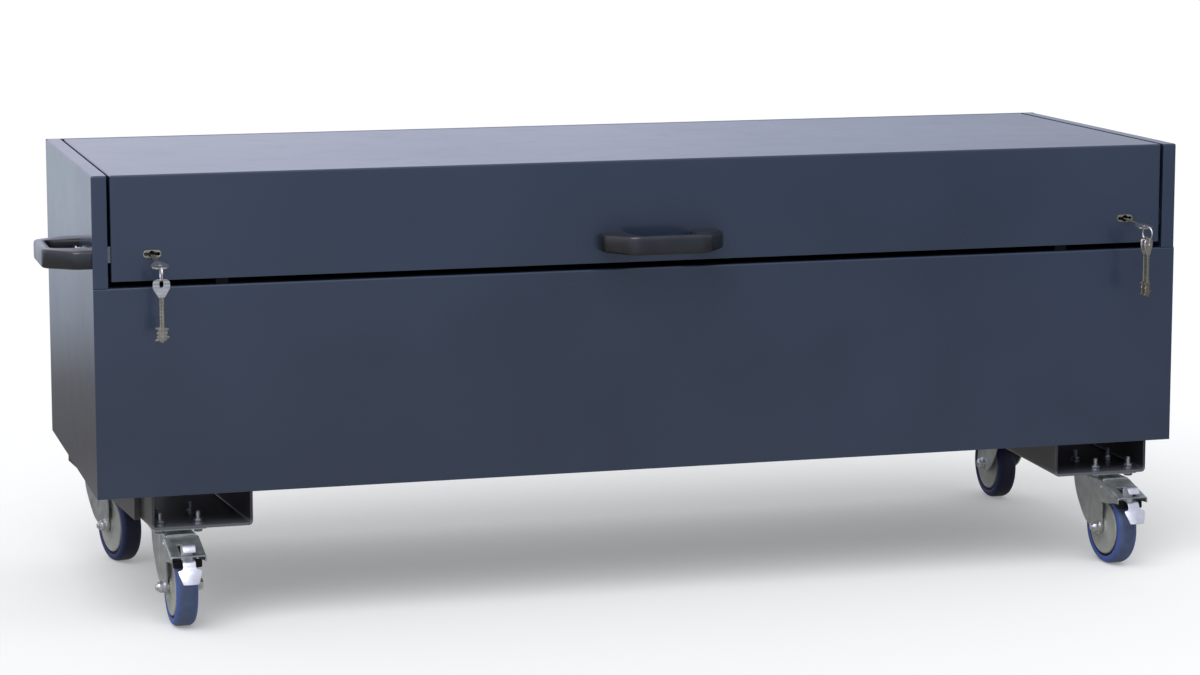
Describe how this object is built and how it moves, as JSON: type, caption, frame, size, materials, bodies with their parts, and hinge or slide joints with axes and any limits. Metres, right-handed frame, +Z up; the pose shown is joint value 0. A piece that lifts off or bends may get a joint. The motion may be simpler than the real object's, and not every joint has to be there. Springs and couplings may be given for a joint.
{
  "type": "site security box",
  "caption": "Long steel site security box on castors with a hinged L-shaped lid, key locks, grab handles and lifting channels.",
  "frame": {"origin": "on the floor, under the middle of the object's overall width and depth", "axes": "+X along the width to the right as seen from the front, +Y from front to back, +Z up"},
  "size_m": [1.942, 0.7143, 0.71],
  "materials": {
    "casing_paint": "dark blue-grey powder coat, semi-gloss",
    "skid_paint": "dark blue-grey powder coat, matt inside",
    "handle_plastic": "black moulded nylon, fine grain",
    "zinc_steel": "bright zinc plate",
    "key_metal": "nickel plated",
    "tyre_rubber": "blue elastic rubber",
    "hub_plastic": "grey moulded nylon",
    "buffer_rubber": "black rubber",
    "strut_paint": "black lacquer",
    "rod_steel": "ground and plated"
  },
  "bodies": {
    "root": {"left_end_panel": "casing_paint", "right_end_panel": "casing_paint", "front_panel": "casing_paint", "back_panel": "casing_paint", "floor_panel": "casing_paint", "left_skid": "skid_paint", "right_skid": "skid_paint", "skid_side_plates": "skid_paint", "lid_buffers": "buffer_rubber", "hinge_casing_leaf": "casing_paint", "hinge_pin": "zinc_steel", "left_side_handle": "handle_plastic", "right_side_handle": "handle_plastic", "side_handle_screws": "zinc_steel", "strut_lower_brackets": "casing_paint", "castor_plates": "zinc_steel", "castor_fixings": "zinc_steel"},
    "lid": {"lid_shell": "casing_paint", "lid_stiffeners": "casing_paint", "lid_handle": "handle_plastic", "lid_handle_screws": "zinc_steel", "hinge_lid_leaf": "casing_paint", "left_lock_case": "zinc_steel", "right_lock_case": "zinc_steel", "keyhole_liners": "key_metal", "strut_upper_brackets": "casing_paint"},
    "left_bolt": {"left_deadbolt": "zinc_steel"},
    "right_bolt": {"right_deadbolt": "zinc_steel"},
    "left_lock_key": {"left_key": "key_metal"},
    "right_lock_key": {"right_key": "key_metal"},
    "left_ring": {"left_key_ring": "key_metal"},
    "right_ring": {"right_key_ring": "key_metal"},
    "left_spare": {"left_spare_key": "key_metal"},
    "right_spare_1": {"right_spare_key_1": "key_metal"},
    "right_spare_2": {"right_spare_key_2": "key_metal"},
    "left_strut_tube": {"left_strut_cylinder": "strut_paint"},
    "right_strut_tube": {"right_strut_cylinder": "strut_paint"},
    "left_strut_stem": {"left_strut_rod": "rod_steel"},
    "right_strut_stem": {"right_strut_rod": "rod_steel"},
    "front_left_swivel": {"front_left_fork": "zinc_steel", "front_left_axle": "zinc_steel", "front_left_brake_cover": "zinc_steel"},
    "front_left_wheel": {"front_left_wheel_centre": "hub_plastic", "front_left_tyre": "tyre_rubber"},
    "front_left_pedal": {"front_left_brake_pedal": "zinc_steel"},
    "front_right_swivel": {"front_right_fork": "zinc_steel", "front_right_axle": "zinc_steel", "front_right_brake_cover": "zinc_steel"},
    "front_right_wheel": {"front_right_wheel_centre": "hub_plastic", "front_right_tyre": "tyre_rubber"},
    "front_right_pedal": {"front_right_brake_pedal": "zinc_steel"},
    "rear_left_swivel": {"rear_left_fork": "zinc_steel", "rear_left_axle": "zinc_steel"},
    "rear_left_wheel": {"rear_left_wheel_centre": "hub_plastic", "rear_left_tyre": "tyre_rubber"},
    "rear_right_swivel": {"rear_right_fork": "zinc_steel", "rear_right_axle": "zinc_steel"},
    "rear_right_wheel": {"rear_right_wheel_centre": "hub_plastic", "rear_right_tyre": "tyre_rubber"}
  },
  "joints": [
    {"name": "lid_hinge", "type": "hinge", "parent": "root", "child": "lid", "pos_m": [0, 0.29475, 0.7015], "axis": [-1, 0, 0], "range_deg": [0, 85]},
    {"name": "left_strut_pivot", "type": "hinge", "parent": "root", "child": "left_strut_tube", "pos_m": [-0.85, 0.25475, 0.4615], "axis": [-1, 0, 0], "range_deg": [0, 18.94]},
    {"name": "left_strut_slide", "type": "slide", "parent": "left_strut_tube", "child": "left_strut_stem", "axis": [0, -0.3096, 0.9509], "range_m": [0, 0.12134]},
    {"name": "right_strut_pivot", "type": "hinge", "parent": "root", "child": "right_strut_tube", "pos_m": [0.85, 0.25475, 0.4615], "axis": [-1, 0, 0], "range_deg": [0, 18.94]},
    {"name": "right_strut_slide", "type": "slide", "parent": "right_strut_tube", "child": "right_strut_stem", "axis": [0, -0.3096, 0.9509], "range_m": [0, 0.12134]},
    {"name": "left_bolt_slide", "type": "slide", "parent": "lid", "child": "left_bolt", "axis": [-1, 0, 0], "range_m": [0, 0.0195]},
    {"name": "left_key_turn", "type": "hinge", "parent": "lid", "child": "left_lock_key", "pos_m": [-0.809, -0.28475, 0.588], "axis": [0.068, -0.972, -0.225], "range_deg": [0, 360]},
    {"name": "left_ring_swing", "type": "hinge", "parent": "left_lock_key", "child": "left_ring", "pos_m": [-0.80471, -0.34613, 0.57642], "axis": [0, 1, 0], "range_deg": [-25, 25]},
    {"name": "left_spare_swing", "type": "hinge", "parent": "left_ring", "child": "left_spare", "pos_m": [-0.80471, -0.34613, 0.55422], "axis": [0, 1, 0], "range_deg": [-40, 40]},
    {"name": "right_bolt_slide", "type": "slide", "parent": "lid", "child": "right_bolt", "axis": [1, 0, 0], "range_m": [0, 0.0195]},
    {"name": "right_key_turn", "type": "hinge", "parent": "lid", "child": "right_lock_key", "pos_m": [0.809, -0.28475, 0.588], "axis": [0.2054, -0.9661, -0.1564], "range_deg": [0, 360]},
    {"name": "right_ring_swing", "type": "hinge", "parent": "right_lock_key", "child": "right_ring", "pos_m": [0.82197, -0.34576, 0.58067], "axis": [-0.309, 0.9511, 0], "range_deg": [-25, 25]},
    {"name": "right_spare_1_swing", "type": "hinge", "parent": "right_ring", "child": "right_spare_1", "pos_m": [0.82197, -0.34576, 0.55847], "axis": [-0.309, 0.9511, 0], "range_deg": [-40, 0]},
    {"name": "right_spare_2_swing", "type": "hinge", "parent": "right_ring", "child": "right_spare_2", "pos_m": [0.82197, -0.34576, 0.55847], "axis": [-0.309, 0.9511, 0], "range_deg": [0, 40]},
    {"name": "front_left_swivel_turn", "type": "hinge", "parent": "root", "child": "front_left_swivel", "pos_m": [-0.77237, -0.22275, 0.156], "axis": [0, 0, 1], "continuous": true},
    {"name": "front_left_wheel_spin", "type": "hinge", "parent": "front_left_swivel", "child": "front_left_wheel", "pos_m": [-0.77097, -0.26273, 0.0625], "axis": [0.9994, 0.0349, 0], "continuous": true},
    {"name": "front_left_pedal_tip", "type": "hinge", "parent": "front_left_swivel", "child": "front_left_pedal", "pos_m": [-0.7702, -0.28471, 0.13078], "axis": [0.9994, 0.0349, 0], "range_deg": [0, 10]},
    {"name": "front_right_swivel_turn", "type": "hinge", "parent": "root", "child": "front_right_swivel", "pos_m": [0.80548, -0.22275, 0.156], "axis": [0, 0, 1], "continuous": true},
    {"name": "front_right_wheel_spin", "type": "hinge", "parent": "front_right_swivel", "child": "front_right_wheel", "pos_m": [0.80757, -0.2627, 0.0625], "axis": [0.9986, 0.0523, 0], "continuous": true},
    {"name": "front_right_pedal_tip", "type": "hinge", "parent": "front_right_swivel", "child": "front_right_pedal", "pos_m": [0.80873, -0.28467, 0.13078], "axis": [0.9986, 0.0523, 0], "range_deg": [0, 10]},
    {"name": "rear_left_swivel_turn", "type": "hinge", "parent": "root", "child": "rear_left_swivel", "pos_m": [-0.81163, 0.25325, 0.156], "axis": [0, 0, 1], "continuous": true},
    {"name": "rear_left_wheel_spin", "type": "hinge", "parent": "rear_left_swivel", "child": "rear_left_wheel", "pos_m": [-0.80196, 0.21444, 0.0625], "axis": [0.9703, 0.2419, 0], "continuous": true},
    {"name": "rear_right_swivel_turn", "type": "hinge", "parent": "root", "child": "rear_right_swivel", "pos_m": [0.82952, 0.25325, 0.156], "axis": [0, 0, 1], "continuous": true},
    {"name": "rear_right_wheel_spin", "type": "hinge", "parent": "rear_right_swivel", "child": "rear_right_wheel", "pos_m": [0.82952, 0.29325, 0.0625], "axis": [-1, 0, 0], "continuous": true}
  ],
  "couplings": [
    {"joint": "left_strut_pivot", "follows": "lid_hinge", "ratio": 0.22285},
    {"joint": "left_strut_slide", "follows": "lid_hinge", "m_per_rad": 0.08179},
    {"joint": "right_strut_pivot", "follows": "lid_hinge", "ratio": 0.22285},
    {"joint": "right_strut_slide", "follows": "lid_hinge", "m_per_rad": 0.08179},
    {"joint": "left_key_turn", "follows": "left_bolt_slide", "rad_per_m": 322.21},
    {"joint": "right_key_turn", "follows": "right_bolt_slide", "rad_per_m": 322.21}
  ]
}
